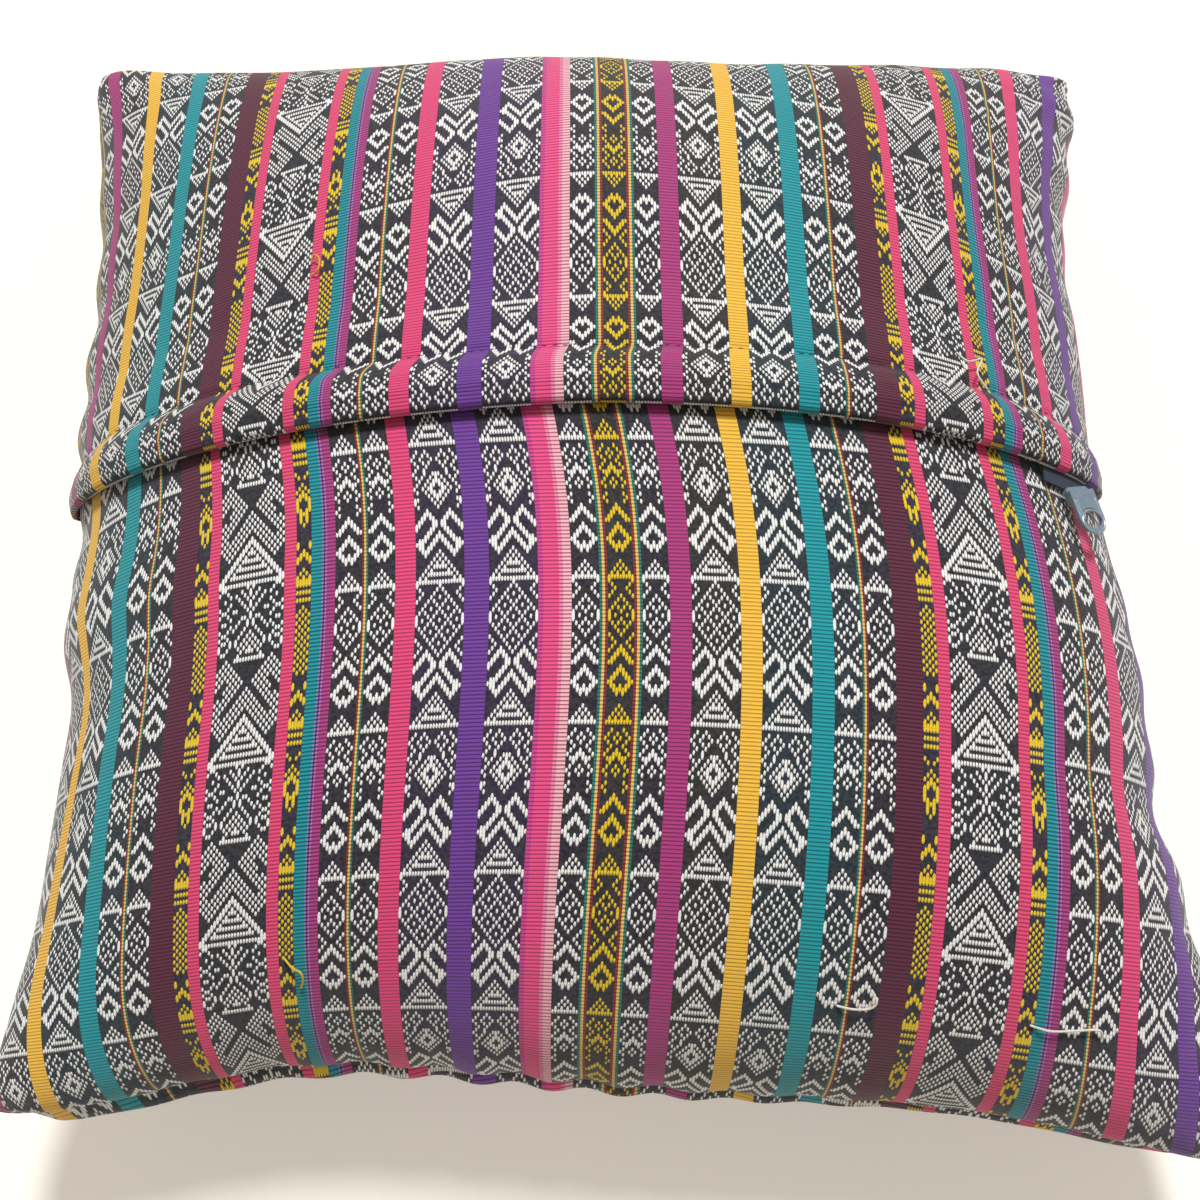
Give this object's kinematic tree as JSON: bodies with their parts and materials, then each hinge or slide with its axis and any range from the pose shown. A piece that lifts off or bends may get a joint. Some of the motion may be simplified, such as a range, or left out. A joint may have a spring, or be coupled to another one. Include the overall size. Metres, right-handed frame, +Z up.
{
  "type": "filled pillow cover",
  "caption": "Square cushion cover with its filling, lying on its front: a plump crown, drawn-in sides, and an envelope back whose hemmed flap laps a lower panel and hides a zip",
  "frame": {"origin": "centre of the bounding box at the surface that the cushion rests on", "axes": "+Z up through the crown, the thin way of the cushion; +Y along the stripes towards the flap's sewn end; +X to the zip pull's side"},
  "size_m": [0.426, 0.4478, 0.1353],
  "materials": {
    "front_cloth": "striped handwoven cotton, matt",
    "back_cloth": "striped handwoven cotton with raised brocade floats, matt",
    "zip_tape": "smooth woven tape",
    "zip_metal": "slate blue enamel, semi-gloss"
  },
  "bodies": {
    "root": {"front_panel": "front_cloth", "back_lower_panel": "back_cloth", "back_flap_panel": "back_cloth", "zip_tape": "zip_tape", "zip_slider": "zip_metal", "zip_pull": "zip_metal"}
  },
  "joints": []
}
